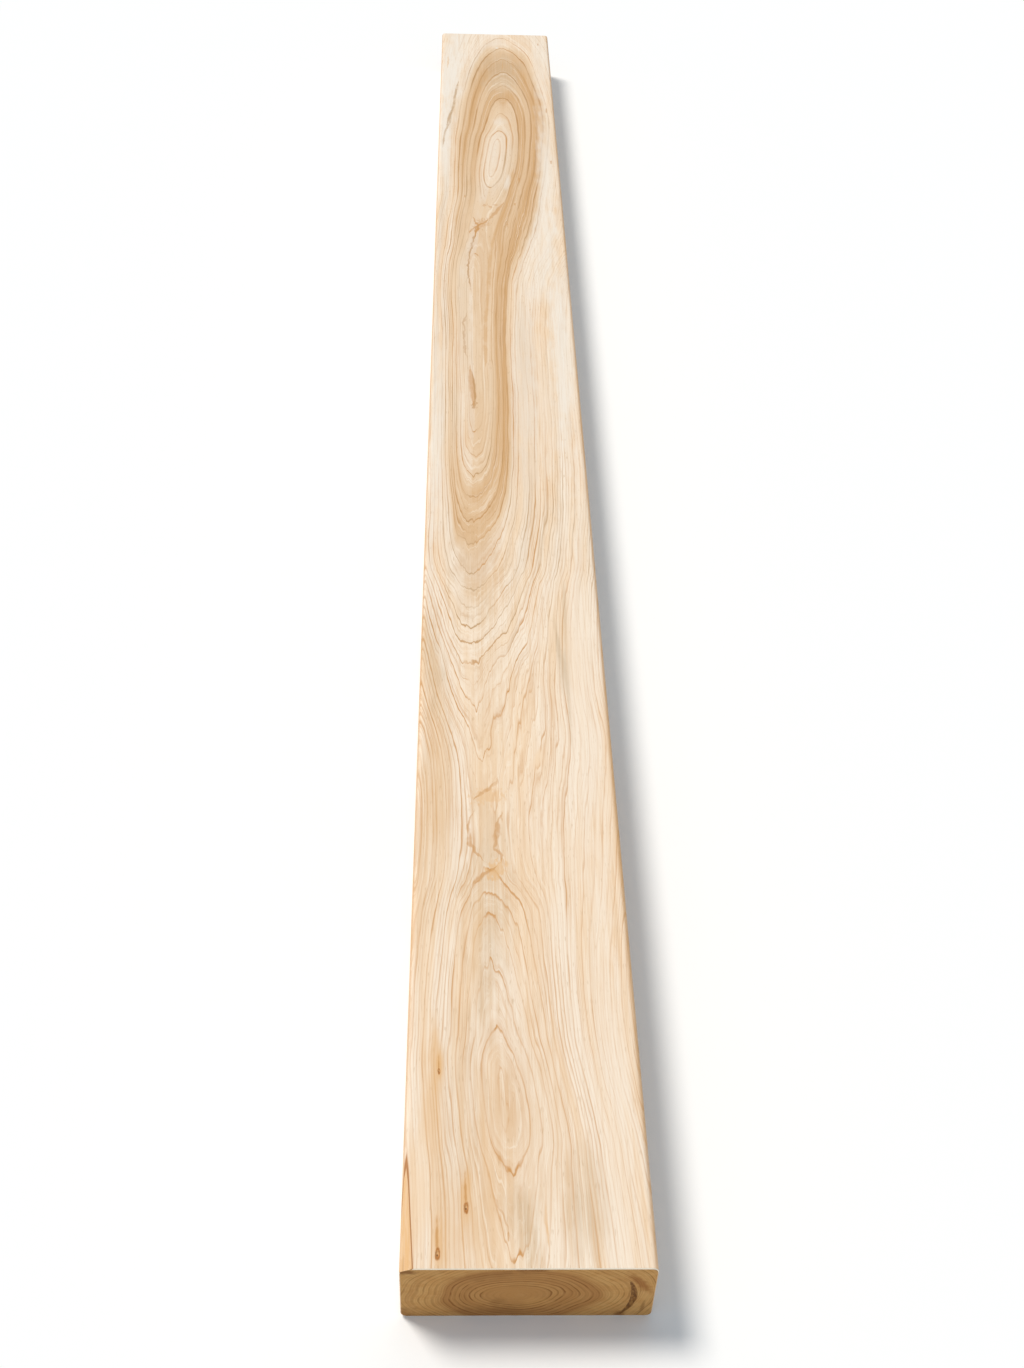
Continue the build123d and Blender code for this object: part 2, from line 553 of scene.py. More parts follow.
def long_grain(log, colours):
    """The colour of the wood on the planed faces, before its lines and blemishes."""
    rings = log["Rings"]
    grain = log["Grain"]
    _, along, sideways = grain.split()
    broad = grain.noise((3.0, 260, 14), 4)
    cool = grain.noise((2.2, 320, 14), 5)
    wood = broad.ramp(0.4, 0.62).tint(colours.sap_pale, colours.sap_warm)
    coolness = cool.ramp(0.45, 0.68, 0.0, 0.8) * along.ramp(*COOL_SAPWOOD, 0.2, 1.0)
    wood = coolness.tint(wood, colours.sap_cool)
    share = (sideways < 0.0).blend(along.station(HEART_ON_RIGHT), along.station(HEART_ON_LEFT))
    far_rings = log["Turn"].scaled(0.5, rings)
    depth = along.ramp(*FAR_HEART).blend(rings.station(HEART_BY_RING), far_rings.station(HEART_BY_RING_FAR))
    heart = depth * share * rings.ramp(*HEART_RINGS)
    wood = heart.ramp(0.0, 0.4).tint(wood, colours.heart_pale)
    wood = heart.ramp(0.25, 1.0).tint(wood, colours.heart_dark)
    return wood, heart


def grain_lines(place, log, wood, heart, fibre, colours):
    """The latewood lines and the fibres, laid over the colour of the wood."""
    rings, spacing, turn, grain = [log[name] for name in ("Rings", "Spacing", "Turn", "Grain")]
    along = grain.split()[1]
    far_heart = rings.ramp(*BROAD_LINE_RINGS) * along.ramp(*BROAD_LINES)
    quiet = far_heart.scaled(-0.65, 1.0)
    calm = rings.ramp(*CALM_RINGS, 0.3, 1.0)
    stripe = place.noise((2.6, 210, 2.6), 25, 3.0, 0.6)
    for thread, light, dark in ((fibre, 0.5, 0.6), (stripe, 0.35, 0.35)):
        wood = (thread.ramp(0.5, 0.68, 0.0, light) * calm).tint(wood, colours.fibre_light)
        wood = (thread.ramp(0.5, 0.32, 0.0, dark) * calm).tint(wood, colours.fibre_dark)
    come_and_go = grain.noise((2.2, 70, 5), 10).ramp(0.38, 0.6, 0.45, 1.0)
    core_share = rings.ramp(*CORE_RINGS).blend(1.0, along.station(CORE_LINE_ALONG))
    share = rings.ramp(*HEART_LINE_RINGS).blend(along.station(LINE_ALONG), core_share)
    strength = come_and_go * share
    dull = along.ramp(*DULL_LINES) * grain.noise((4, 160, 6), 11).ramp(0.4, 0.6)
    line_colour = dull.tint(colours.latewood, colours.latewood_dull)
    line_colour = heart.ramp(0.2, 0.8).tint(line_colour, colours.heart_line)
    contour = grain.noise((0.16, 260, 8), 6, 3.0, 0.65)
    dark_contour = contour.ramp(0.46, 0.74) * strength * turn.blend(0.6, 0.25) * quiet
    wood = dark_contour.tint(wood, line_colour)
    wood = contour.ramp(0.46, 0.3, 0.0, 0.45).tint(wood, colours.fibre_light)
    more = TURN_WIDENING - 1.0
    small_lines = ring_lines(rings, spacing, turn.scaled(more, 1.0), 2.0, SMALL_LINE_WIDTHS, 100)
    wood = (small_lines * strength * turn.blend(0.65, 0.1) * quiet).tint(wood, line_colour)
    broad = (turn * along.ramp(*NEAR_TURN, 1.0, NEAR_TURN_SHARE)).most(far_heart)
    lines = ring_lines(rings, spacing, broad.scaled(more, 1.0), 1.0, LINE_WIDTHS, 0, LINE_BY_RING)
    lines = lines * strength.most(turn)
    wood = lines.tint(wood, line_colour)
    pores = place.noise((0.6, 6, 0.6), 12, 0.0).ramp(0.7, 0.8, 0.0, 0.35)
    return pores.tint(wood, colours.latewood_dull), lines


def blemishes(place, wood, waver, stripes, blots, colours):
    """Blots, streaks and pin knots on the upper face."""
    tatter = place.sway((1.6, 3.4, 1.6), 13, 0.55)
    fray = tatter * 0.35
    wobble = place.sway((4, 9, 4), 14, 1.0)
    broken = place.noise((5, 11, 5), 24).ramp(0.35, 0.5, 0.55, 1.0)
    plain = wood

    def lay(rows, uneven, softness, shown=1.0):
        return lay_blots(place, wood, blots, colours, rows, uneven, softness, shown)

    wood = lay(BLOTS, waver, 0.9, stripes)
    wood = lay(RAGGED_BLOTS, tatter, 0.5)
    for path, half_width, name, strength, raggedness in STREAKS:
        mask = streak(place, path, half_width, wobble * raggedness)
        wood = (mask * broken * strength).tint(wood, getattr(colours, name))
    wood = lay([(*fleck, 0, "resin_dark", 0.6) for fleck in FLECKS], tatter, 0.6)
    for x, y, r in PIN_KNOTS:
        wood = lay([(x, y + r * 5, r * 3.0, r * 16, 0, "resin", 0.7)], waver, 0.95)
        wood = lay([(x - r * 0.3, y + r * 6, r * 0.8, r * 12, -0.02, "resin_dark", 0.8)], fray, 0.8)
        wood = lay([(x, y, r * 1.2, r * 3.2, 0, "knot_rim", 0.95)], fray, 0.4)
        wood = lay([(x, y + r * 0.3, r * 0.7, r * 1.7, 0, "resin", 0.8)], fray, 0.6)
        wood = lay([(x - r * 0.1, y - r * 0.3, r * 0.5, r * 0.8, 0, "pin_knot", 0.9)], fray, 0.7)
    return on_upper(place).tint(plain, wood)


# How dark the heart of a sawn end is, by the ring's number from the pith
END_HEART_BY_RING = (
    (0, 0.65), (4, 0.8), (7, 0.6), (9, 0.9), (10, 0.7), (11.5, 0.8), (12.6, 1), (13.4, 0.6),
    (15, 0.15), (17, 0.05), (18.4, 0.25), (20, 0.05), (30, 0),
)
# How dark the line of each ring is on a sawn end, by its number from the pith
END_LINE_BY_RING = (
    (0, 0.1), (5, 0.2), (6, 0.9), (7, 0.5), (8, 1), (9, 0.6), (10, 0.9), (11, 0.5), (12, 1), (13, 0.6),
    (14, 0.3), (15, 0.55), (16, 0.3),
)
# Marks on the wane end: across, up from the underside, half width, half height, lean, colour, strength
END_MARKS = (
    (-14, 5, 26, 7, -0.1, "end_dark", 0.45),
    (-18, 38, 20, 6, 2.2, "end_dark", 0.35),
    (-14, 15, 6, 5, 0, "end_dark", 0.4),
    (4, 14, 10, 5, 0, "end_warm", 0.5),
    (2, 45, 12, 3.2, 0, "end_dark", 0.75),
    (53, 31, 4.0, 14, -0.6, "end_resin", 0.85),
    (55, 9, 1.4, 8, 0.1, "end_dark", 0.6),
    (-59, 3, 9, 9, 0, "end_dark", 0.6),
    (-58, 42.5, 8, 3.2, 0, "end_dark", 0.9),
    (44.5, 2, 3.6, 6, 0.35, "end_dark", 0.9),
)
# The marks fade out inside the plank, over this stretch from the wane end
END_MARKS_FADE = (20, 10)
# The painted highlight on the sanded arris, from the wane end and up from the underside: where it fades
# out, and where it is full
ARRIS_HIGHLIGHT_ALONG = (1.6, 1.0)
ARRIS_HIGHLIGHT_HEIGHT = (40, 42)
# The bark pocket's colour shows over these distances into the wane end
BARK_FROM = (0.1, 0.6)
BARK_TO = (6, 4)
# How far past the start of the edges' rounding a place counts as inside: no longer, and still fully
UNDER_SKIN = (1.6, 0.8)
# The surface: how rough it is, how much it shines, and how far the grain stands up in the light
FACE_ROUGHNESS = (0.56, 0.7)
END_ROUGHNESS = 0.85
SHINE = 0.25
BUMP_STRENGTH = 0.25
BUMP_HEIGHT = 0.0003


def end_grain(place, rings, blots, colours):
    """The colour of the wood on the two sawn ends."""
    x, along, z = place.split()
    mottle = place.noise((6, 6, 4), 8, 4.0, 0.6)
    wood = mottle.ramp(0.35, 0.65).tint(colours.end_pale, colours.end_warm)
    wood = rings.station(END_HEART_BY_RING).tint(wood, colours.end_core)
    waver = place.sway((4, 4, 3), 15, 0.3)
    at_wane = along.ramp(*END_MARKS_FADE)
    wood = lay_blots(pack(x, z), wood, blots, colours, END_MARKS, waver, 0.8, at_wane)
    come_and_go = place.noise((9, 9, 6), 17).ramp(0.36, 0.58, 0.4, 1.0)
    lines = ring_lines(rings, END_SPACING, 1.0, 1.0, END_LINE_WIDTHS, 200, END_LINE_BY_RING)
    lines = lines * come_and_go * rings.ramp(*END_CORE_RINGS, 0.6, 1.0)
    small_lines = ring_lines(rings, END_SPACING, 1.0, 2.3, END_LINE_WIDTHS, 300)
    wood = lines.tint(wood, colours.end_ring)
    return (small_lines * rings.ramp(*END_FINE_RINGS, 0.05, 0.35)).tint(wood, colours.end_ring)


def inside_section(place, sizes):
    """1 well inside the plank's section, and 0 near its skin: tells a flaw in an end from a long face."""
    x, _, z = place.split()
    half_height = sizes.thickness / 2 / MM
    beyond_x = abs(x) + (sizes.edge_radius - sizes.width / 2) / MM
    beyond_z = abs(z - half_height) + (sizes.edge_radius / MM - half_height)
    return beyond_x.most(beyond_z).ramp(*UNDER_SKIN)


def wane_skin(place, sizes):
    """How near the surface is to the wane: 0 on it, and rising away from it by shares of its size."""
    low_corner = (sizes.width / 2, 0.0, -sizes.thickness)
    reach = (sizes.wane_width, sizes.wane_length, -sizes.wane_depth)
    slope = [MM / side for side in reach]
    start = sum(at / side for at, side in zip(low_corner, reach))
    return place.vector("DOT_PRODUCT", slope, out="Value") + (start - 1.0)


def edges(place, wood, normal, fibre, colours, sizes):
    """The eased long edges with their tint, partly painted shade, the wane with its rim, and the sanded
    arris with its painted highlight, laid over the wood.
    """
    normal_x, normal_y, _ = normal.split()
    _, depth, height = place.split()
    # The eased long edges turn a darker orange tan: partly the wood's own edge tone and partly painted
    # shade, reaching further round the right edge, which faces away from the key light
    edge = normal_x.ramp(0.2, 0.6).most(normal_x.ramp(-0.5, -0.85)) * abs(normal_x).ramp(0.999, 0.95)
    wood = (edge * 0.55).tint(wood, colours.edge)
    near_wane = wane_skin(place, sizes)
    on_wane = near_wane.ramp(0.1, 0.05) * fibre.ramp(0.35, 0.65, 0.95, 0.55)
    wood = on_wane.tint(wood, colours.resin)
    rim = near_wane.ramp(0.22, 0.15) * near_wane.ramp(0.06, 0.09)
    wood = (rim * 0.9).tint(wood, colours.knot_rim)
    # Painted highlight: the upper arris of the wane end, paler from sanding, is lightened to near white as
    # if light caught it
    at_end = depth.ramp(*ARRIS_HIGHLIGHT_ALONG) * height.ramp(*ARRIS_HIGHLIGHT_HEIGHT)
    arris = normal_y.ramp(-0.2, -0.5) * near_wane.ramp(0.2, 0.3) * at_end
    return arris.tint(wood, colours.arris)


def empty_tree(owner):
    """The node tree of a material or a world, cleared."""
    owner.use_nodes = True
    owner.node_tree.nodes.clear()
    return owner.node_tree


def planed_timber(colours, sizes, rings_group):
    """The whole finish of the plank."""
    material = bpy.data.materials.new("planed_timber")
    tree = empty_tree(material)
    point = run(tree, "ShaderNodeTexCoord", out="Object")
    place = point.vector("MULTIPLY_ADD", [1 / MM] * 3, (0, sizes.length / 2 / MM, 0))
    log = use_group(tree, rings_group, {"Place": place})
    blots = blot_group()
    fibre = place.noise((0.9, 46, 0.9), 9, 4.0, 0.75)
    waver = place.sway((6, 24, 6), 7, 0.25)
    stripes = fibre.ramp(0.3, 0.65, 0.55, 1.0)
    wood, heart = long_grain(log, colours)
    stained = lay_blots(place, wood, blots, colours, STAINS, waver, 0.9, stripes)
    wood = on_upper(place).tint(wood, stained)
    wood, lines = grain_lines(place, log, wood, heart, fibre, colours)
    wood = blemishes(place, wood, waver, stripes, blots, colours)
    normal = run(tree, "ShaderNodeNewGeometry", out="Normal")
    wood = edges(place, wood, normal, fibre, colours, sizes)
    end_wood = end_grain(place, log["End Rings"], blots, colours)
    inside = inside_section(place, sizes)
    depth = place.split()[1]
    pocket = inside * depth.ramp(*BARK_FROM) * depth.ramp(*BARK_TO)
    flecked = place.noise((1.2, 2, 2.4), 18).ramp(0.4, 0.62, 1.0, 0.35)
    end_wood = (pocket * flecked).tint(end_wood, colours.bark)
    on_end = abs(normal.split()[1]).ramp(0.8, 0.95).most(inside)
    relief = fibre * 0.5 - lines * 0.6
    shader = run(tree, "ShaderNodeBsdfPrincipled", {
        "Base Color": on_end.tint(wood, end_wood),
        "Roughness": on_end.blend(fibre.ramp(0.3, 0.7, *FACE_ROUGHNESS), END_ROUGHNESS),
        "Specular IOR Level": SHINE,
        "Normal": run(tree, "ShaderNodeBump", {
            "Strength": BUMP_STRENGTH, "Distance": BUMP_HEIGHT, "Height": relief}),
    })
    new_node(tree, "ShaderNodeOutputMaterial", {"Surface": shader})
    return material


# The plank's shape
# Steps round each eased edge, and divisions of each face
CORNER_STEPS = 4
UPPER_DIVISIONS = 90
UNDER_DIVISIONS = 36
SIDE_DIVISIONS = 14
ROWS = 560
# The share of even spacing that the rows keep at the wane end, where they are closest
ROW_SHARE = 0.55
# The bark pocket on the wane end: across and up from the underside
POCKET = ((47.5, 33.0), (54.0, 17.0), (45.0, 2.5))
POCKET_HALF_WIDTH = 1.7
POCKET_DEPTH = 1.8
POCKET_STEPS = 28
POCKET_SIDES = 10
POCKET_ROUGHNESS = 0.0003
# The block that cuts the wane: its size in metres, its divisions, and how uneven its underside is
WANE_BLOCK = (0.06, 0.3, 0.02)
WANE_DIVISIONS = (40, 100, 2)
WANE_ROUGHNESS = 0.00012
# The pit of a pin knot: its share of the eye across, along and down, and how far up its middle lies
PIT_SHARES = (1.0, 1.5, 0.75)
PIT_RISE = 0.35
# How many rings to the side of the pith the raised grain ends, and where it begins to die out
GRAIN_DIES_OUT = (9, 4)
# Edges that turn by more than this stay sharp
SHARP_ANGLE = math.radians(27)
# The flat map: the share of its width that the length takes, and the strips of each face, low and high
MAP_LENGTH = 0.996
UNDER_STRIP = (0.003, 0.197)
UPPER_STRIP = (0.203, 0.617)
LEFT_STRIP = (0.623, 0.737)
RIGHT_STRIP = (0.743, 0.857)
END_STRIP = (0.863, 0.997)
WANE_END_SPAN = (0.005, 0.595)
FAR_END_SPAN = (0.605, 0.995)


def socket_name(key):
    """The name of the rule's input, from the name of its setting."""
    return key.replace("_", " ").title()


def plank_body(rings_group):
    """The plank as a rule: a section with eased edges along a line, less its wane and its flaws."""
    names = [socket_name(key) for key in PlankSizes.__annotations__]
    inputs = {"Geometry": "Geometry", **dict.fromkeys(names, "Float"), "Wood": "Material"}
    tree, given, result = new_group("Plank body", "GeometryNodeTree", inputs, {"Geometry": "Geometry"})
    length, width, thickness, radius, arris = [given[name] for name in names[:5]]
    half_length = length * 0.5
    body = sweep_section(length, width, thickness, radius, arris)
    body = ease_ends(body, half_length, width, thickness, radius, arris)
    cut = new_node(
        tree, "GeometryNodeMeshBoolean", {"Mesh 1": body}, operation="DIFFERENCE", solver="MANIFOLD")
    cutters = [wane_block(given, half_length), bark_pocket(half_length), *knot_pits(half_length, thickness)]
    for cutter in cutters:
        feed(cut.inputs["Mesh 2"], cutter)
    body = raise_grain(Field(tree, cut.outputs["Mesh"]), rings_group, half_length, given["Raised Grain"])
    body = lay_map(shade(body), length, width, thickness, radius)
    body = run(tree, "GeometryNodeRealizeInstances", {"Geometry": body})
    body = run(tree, "GeometryNodeSetMaterial", {"Geometry": body, "Material": given["Wood"]})
    feed(result["Geometry"], body)
    return tree


def moved(geometry, **inputs):
    """A mesh or curve with its points moved."""
    return run(geometry.tree, "GeometryNodeSetPosition", {"Geometry": geometry, **inputs})


def sweep_section(length, width, thickness, radius, arris):
    """The section with its eased edges, carried along the length, in rows close together at -Y."""
    tree = length.tree
    outline = run(tree, "GeometryNodeCurvePrimitiveQuadrilateral", {"Width": width, "Height": thickness})
    eased = run(tree, "GeometryNodeFilletCurve", {
        "Curve": outline, "Count": CORNER_STEPS, "Radius": radius}, mode="POLY")
    index = run(tree, "GeometryNodeInputIndex")
    per_corner = CORNER_STEPS + 1
    corner = ((index + 0.5) / per_corner).math("FLOOR")
    starts_face = index - corner * per_corner > CORNER_STEPS - 0.5
    is_upper = corner.math("COMPARE", 2.0, 0.5)
    is_under = corner.math("COMPARE", 0.0, 0.5)
    more_upper = is_upper * (UPPER_DIVISIONS - SIDE_DIVISIONS)
    more_under = is_under * (UNDER_DIVISIONS - SIDE_DIVISIONS)
    cuts = more_upper + more_under + SIDE_DIVISIONS
    section = run(tree, "GeometryNodeSubdivideCurve", {"Curve": eased, "Cuts": starts_face * cuts})
    line = run(tree, "GeometryNodeCurvePrimitiveLine", {"End": (0, 1, 0)})
    rows = run(tree, "GeometryNodeResampleCurve", {"Curve": line, "Count": ROWS}, mode="COUNT")
    share = ((index - 1.0) / (ROWS - 3.0)).most(0.0).least(1.0)
    eased_share = share * share.scaled(1 - ROW_SHARE, ROW_SHARE)
    inner = length - arris * 2.0
    ends = ((index > ROWS - 1.5) - (index < 0.5)) * arris
    y = (eased_share - 0.5) * inner + ends
    spaced = moved(rows, Position=pack(0.0, y, thickness * 0.5))
    return run(tree, "GeometryNodeCurveToMesh", {
        "Curve": spaced, "Profile Curve": section, "Fill Caps": True})


def ease_ends(body, half_length, width, thickness, radius, arris):
    """Draws the two sawn ends in all round by the arris."""
    x, y, z = run(body.tree, "GeometryNodeInputPosition").split()
    half_height = thickness * 0.5
    share = arris / radius

    def towards_flat(value, flat):
        return (value.least(flat).most(-flat) - value) * share

    offset = pack(
        towards_flat(x, width * 0.5 - radius), 0.0, towards_flat(z - half_height, half_height - radius))
    at_end = abs(y) > half_length - arris * 0.5
    return moved(body, Selection=at_end, Offset=offset)


def wane_block(given, half_length):
    """A block whose underside is the wane: everything outside that plane is cut away."""
    tree = half_length.tree
    corner = pack(given["Width"] * -0.5, -half_length, given["Thickness"])
    on_face = corner.vector("ADD", pack(given["Wane Width"], 0.0))
    on_side = corner.vector("SUBTRACT", pack(0.0, 0.0, given["Wane Depth"]))
    runs_out = corner.vector("ADD", pack(0.0, given["Wane Length"]))
    lengthwise = runs_out.vector("SUBTRACT", on_face)
    downwards = on_side.vector("SUBTRACT", on_face)
    outward = lengthwise.vector("CROSS_PRODUCT", downwards).vector("NORMALIZE")
    turn = run(tree, "FunctionNodeAlignRotationToVector", {"Vector": outward}, axis="Z")
    divisions = zip(("Vertices X", "Vertices Y", "Vertices Z"), WANE_DIVISIONS)
    block = run(tree, "GeometryNodeMeshCube", {"Size": WANE_BLOCK, **dict(divisions)})
    position = run(tree, "GeometryNodeInputPosition")
    rough = position.sway((0.006, 0.02, 0.006), 21, WANE_ROUGHNESS)
    underside = position.split()[2] < 0.0
    shaped = moved(block, Offset=pack(0.0, 0.0, rough * underside))
    centre = on_face.vector("ADD", outward.stretched(WANE_BLOCK[2] / 2))
    return run(tree, "GeometryNodeTransform", {
        "Geometry": shaped, "Translation": centre, "Rotation": turn})


def bark_pocket(half_length):
    """A curved groove with ragged sides in the wane end, where the bark grew in."""
    tree = half_length.tree
    start, middle, end = [pack(across * MM, -half_length, up * MM) for across, up in POCKET]
    arc = run(tree, "GeometryNodeCurveQuadraticBezier", {
        "Resolution": POCKET_STEPS, "Start": start, "Middle": middle, "End": end})
    share = run(tree, "GeometryNodeSplineParameter", out="Factor")
    swell = (share.scaled(0.92, 0.04) * math.pi).math("SINE") ** 0.7
    ring = run(tree, "GeometryNodeCurvePrimitiveCircle", {
        "Resolution": POCKET_SIDES, "Radius": POCKET_HALF_WIDTH * MM})
    tube = run(tree, "GeometryNodeCurveToMesh", {
        "Curve": arc, "Profile Curve": ring, "Scale": swell, "Fill Caps": True})
    position = run(tree, "GeometryNodeInputPosition")
    deeper = (position.split()[1] + half_length) * (POCKET_DEPTH / POCKET_HALF_WIDTH - 1.0)
    ragged = position.sway((0.0016, 0.0016, 0.0016), 22, POCKET_ROUGHNESS)
    return moved(tube, Offset=pack(ragged, deeper, ragged * 0.5))


def knot_pits(half_length, thickness):
    """A small hollow for the eye of each pin knot."""
    pits = []
    for across, along, radius in PIN_KNOTS:
        ball = run(thickness.tree, "GeometryNodeMeshIcoSphere", {"Radius": radius * MM, "Subdivisions": 2})
        centre = pack(across * MM, along * MM - half_length, thickness + radius * PIT_RISE * MM)
        pits.append(run(thickness.tree, "GeometryNodeTransform", {
            "Geometry": ball, "Translation": centre, "Scale": PIT_SHARES}))
    return pits


def raise_grain(body, rings_group, half_length, amount):
    """Lets the softer wood sink a little between the latewood lines, where they lie wide apart."""
    tree = body.tree
    position = run(tree, "GeometryNodeInputPosition")
    place = position.vector("MULTIPLY_ADD", [1 / MM] * 3, pack(0.0, half_length / MM))
    log = use_group(tree, rings_group, {"Place": place})
    wave = (log["Rings"] * (2 * math.pi)).math("COSINE").scaled(0.5, -0.5)
    wide = abs(log["Grain"].split()[2]).ramp(*GRAIN_DIES_OUT)
    normal = run(tree, "GeometryNodeInputNormal", out="Normal")
    return moved(body, Offset=normal.stretched(wave * wide * amount))


def shade(body):
    """Smooth faces, with the edges of the sawn ends, the wane and the flaws kept sharp."""
    angle = run(body.tree, "GeometryNodeInputMeshEdgeAngle", out="Unsigned Angle")
    for domain, smooth in (("FACE", True), ("EDGE", angle < SHARP_ANGLE)):
        inputs = {"Geometry": body, "Shade Smooth": smooth}
        body = run(body.tree, "GeometryNodeSetShadeSmooth", inputs, domain=domain)
    return body


def lay_map(body, length, width, thickness, radius):
    """A flat map of the surface: the long faces in strips over each other, the two ends above them."""
    tree = body.tree
    position = run(tree, "GeometryNodeInputPosition")
    true_normal = run(tree, "GeometryNodeInputNormal", out="True Normal")

    def by_face(vector):
        return [run(tree, "GeometryNodeFieldOnDomain", {"Value": part}, domain="FACE", data_type="FLOAT")
                for part in vector.split()]

    def strip(share, span):
        low, high = span
        return share.scaled(high - low, low)

    x, y, z = position.split()
    face_x, face_y, face_z = by_face(position)
    normal_x, normal_y, normal_z = by_face(true_normal)
    half_height = thickness * 0.5
    share_x = x / width + 0.5
    share_z = z / thickness
    u_long = (y / length).scaled(MAP_LENGTH, 0.5)
    v_flat = (normal_z > 0.0).blend(strip(share_x, UNDER_STRIP), strip(share_x, UPPER_STRIP))
    v_side = (normal_x > 0.0).blend(strip(share_z, LEFT_STRIP), strip(share_z, RIGHT_STRIP))
    v_long = (abs(normal_x) > abs(normal_z)).blend(v_flat, v_side)
    u_end = (face_y > 0.0).blend(strip(share_x, WANE_END_SPAN), strip(share_x, FAR_END_SPAN))
    v_end = strip(share_z, END_STRIP)
    inside = (abs(face_x) < width * 0.5 - radius) * (abs(face_z - half_height) < half_height - radius)
    is_end = inside.most(abs(normal_y) > 0.8)
    corner_map = pack(is_end.blend(u_long, u_end), is_end.blend(v_long, v_end))
    return run(tree, "GeometryNodeStoreNamedAttribute", {
        "Geometry": body, "Name": "OFBake", "Value": corner_map}, data_type="FLOAT2", domain="CORNER")


def colour(label, description, shown):
    """A colour that a user would change, from the three values a screen shows."""
    return bpy.props.FloatVectorProperty(
        name=label, description=description, subtype="COLOR", size=3, min=0.0, max=1.0,
        default=paint(*shown))


def size(label, description, default):
    """A length that a user would change, in metres."""
    return bpy.props.FloatProperty(
        name=label, description=description, subtype="DISTANCE", unit="LENGTH", min=0.0, precision=4,
        default=default)


class PlankSizes(bpy.types.PropertyGroup):
    """The plank's own sizes."""

    length: size("Length", "From sawn end to sawn end", PLANK_SIZE.y)
    width: size("Width", "Across the upper face", PLANK_SIZE.x)
    thickness: size("Thickness", "From the underside to the upper face", PLANK_SIZE.z)
    edge_radius: size("Edge radius", "Rounding of the four long edges", 0.003)
    end_arris: size("End arris", "Sanding of the edges round both ends", 0.0004)
    wane_width: size("Wane width", "Reach of the wane on the upper face", 0.0055)
    wane_depth: size("Wane depth", "Reach of the wane down the side", 0.0026)
    wane_length: size("Wane length", "Reach of the wane along the upper edge", 0.08)
    raised_grain: size("Raised grain", "How far the softer wood sinks", 0.00006)


class PlankColours(bpy.types.PropertyGroup):
    """The colours of the wood."""

    sap_pale: colour("Pale sapwood", "The usual sapwood", (248, 231, 211))
    sap_warm: colour("Warm sapwood", "Sapwood with a peach tinge", (244, 215, 182))
    sap_cool: colour("Cool sapwood", "Sapwood with a grey tinge", (234, 216, 196))
    sap_white: colour("White sapwood", "The lightest sapwood", (244, 234, 221))
    fibre_light: colour("Light fibre", "Fine light streaks along the grain", (252, 237, 217))
    fibre_dark: colour("Dark fibre", "Fine dark streaks along the grain", (229, 195, 157))
    latewood: colour("Latewood", "The line at the end of each ring", (206, 151, 92))
    latewood_dull: colour("Dull latewood", "The same line where it is greyer", (196, 162, 122))
    heart_pale: colour("Pale heartwood", "Heartwood near the pith", (234, 204, 169))
    heart_dark: colour("Dark heartwood", "The band round the heartwood", (214, 169, 117))
    heart_line: colour("Heartwood line", "The line of each ring in the heartwood", (186, 138, 84))
    pith: colour("Pith", "The streak where the pith comes to the face", (188, 140, 84))
    grey: colour("Grey stain", "Faint grey blots", (220, 192, 160))
    shadow_grain: colour("Shadowed grain", "Greyish brown streaks", (186, 160, 124))
    resin: colour("Resin", "Orange tinge about the pin knots", (229, 182, 126))
    resin_dark: colour("Dark resin", "Ragged orange brown blots", (203, 148, 86))
    pin_knot: colour("Pin knot", "The eye of a pin knot", (104, 60, 26))
    knot_rim: colour("Knot rim", "The rim of a pin knot and of the wane", (178, 114, 52))
    # The arris colour is a painted highlight: near white, laid over the paler sanded wood of the wane end's
    # upper arris
    arris: colour("Arris", "The sanded edge of the sawn end", (255, 243, 222))
    # Its tint on the eased long edges is partly the wood's own edge tone and partly painted shade
    edge: colour("Edge", "The eased long edges", (216, 164, 106))
    end_pale: colour("End grain", "The sawn ends near the skin", (214, 166, 102))
    end_warm: colour("Warm end grain", "Mottling of the sawn ends", (206, 154, 90))
    end_core: colour("End grain core", "The sawn ends near the pith", (184, 131, 74))
    end_ring: colour("End grain ring", "The rings on the sawn ends", (142, 92, 42))
    end_dark: colour("Dark end grain", "Dark blots on the sawn ends", (144, 97, 50))
    end_resin: colour("End grain resin", "Orange brown smears on the sawn ends", (166, 108, 54))
    bark: colour("Bark", "Bark grown into the end", (142, 100, 58))


class StageSettings(bpy.types.PropertyGroup):
    """The floor, the light and the camera."""

    floor: colour("Floor", "A plain pale floor", (252, 252, 252))
    sun: bpy.props.FloatProperty(
        name="Sun", description="Strength of the soft key light", min=0.0, default=2.35)
    sun_spread: bpy.props.FloatProperty(
        name="Sun spread", description="How wide the key light is, and so how soft its shadow",
        subtype="ANGLE", default=math.radians(20))
    sun_colour: colour("Sun colour", "Tinge of the key light", (255, 249, 240))
    sky_colour: colour("Sky colour", "Tinge of the even light", (234, 245, 255))
    sky: bpy.props.FloatProperty(
        name="Sky", description="Strength of the even light from all round", min=0.0, default=0.48)


def put(context, name, data):
    """A new object in the scene, in place of one of this name from an earlier run."""
    old = bpy.data.objects.get(name)
    if old:
        bpy.data.objects.remove(old)
    made = bpy.data.objects.new(name, data)
    context.scene.collection.objects.link(made)
    return made


